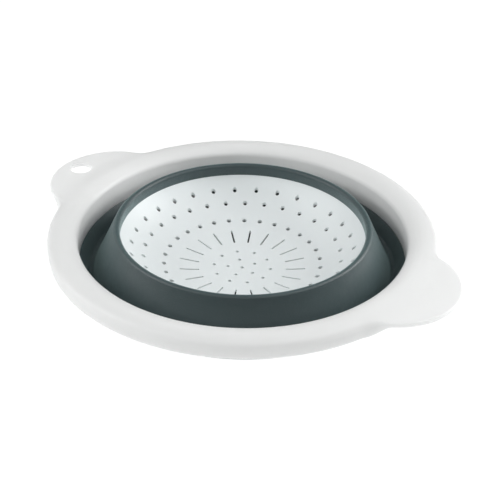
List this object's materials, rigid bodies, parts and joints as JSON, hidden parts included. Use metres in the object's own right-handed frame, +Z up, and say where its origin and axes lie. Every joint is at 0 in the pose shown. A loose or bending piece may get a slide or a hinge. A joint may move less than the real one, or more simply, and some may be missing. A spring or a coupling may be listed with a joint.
{
  "type": "folding colander",
  "caption": "Round folding colander, folded flat: stiff rim with ears, soft wall that turns inside out, perforated base.",
  "frame": {"origin": "centre of the foot ring, on the surface that it stands on, with the colander folded flat", "axes": "+Z up through the bowl, +X towards the plain ear, -X towards the ear with the hanging hole"},
  "size_m": [0.2888, 0.2402, 0.0375],
  "materials": {
    "white_rim": "satin white polypropylene",
    "grey_rubber": "soft matt dark grey",
    "white_base": "semi-gloss white polypropylene"
  },
  "bodies": {
    "rim": {"rim_frame": "white_rim", "outer_wall": "grey_rubber", "folding_web": "grey_rubber"},
    "basket": {"basket_bead": "grey_rubber", "strainer_base": "white_base"}
  },
  "joints": [
    {"name": "unfold", "type": "slide", "parent": "basket", "child": "rim", "axis": [0, 0, 1], "range_m": [0, 0.054], "deforming": ["folding_web"]}
  ]
}
